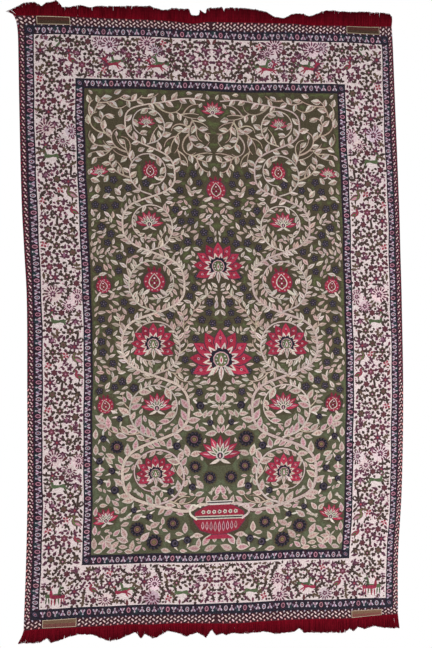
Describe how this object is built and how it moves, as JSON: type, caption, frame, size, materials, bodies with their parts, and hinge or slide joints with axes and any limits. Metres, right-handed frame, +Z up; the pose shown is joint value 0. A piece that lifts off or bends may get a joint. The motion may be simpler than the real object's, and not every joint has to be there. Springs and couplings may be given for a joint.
{
  "type": "woven wall tapestry",
  "caption": "Tall rectangular woven wall hanging with a bordered flower and leaf pattern and a fringe along its top and bottom edges.",
  "frame": {"origin": "middle of the woven cloth's top edge, where the hanging is held", "axes": "+Z up, front face towards -Y, +X to the right seen from the front"},
  "size_m": [1.3127, 0.0492, 2.1069],
  "materials": {
    "woven_wool": "matt woven wool in olive, cream, navy and crimson",
    "fringe_yarn": "matt dark crimson wool yarn"
  },
  "bodies": {
    "root": {"cloth": "woven_wool", "fringe_top": "fringe_yarn", "fringe_bottom": "fringe_yarn"}
  },
  "joints": []
}
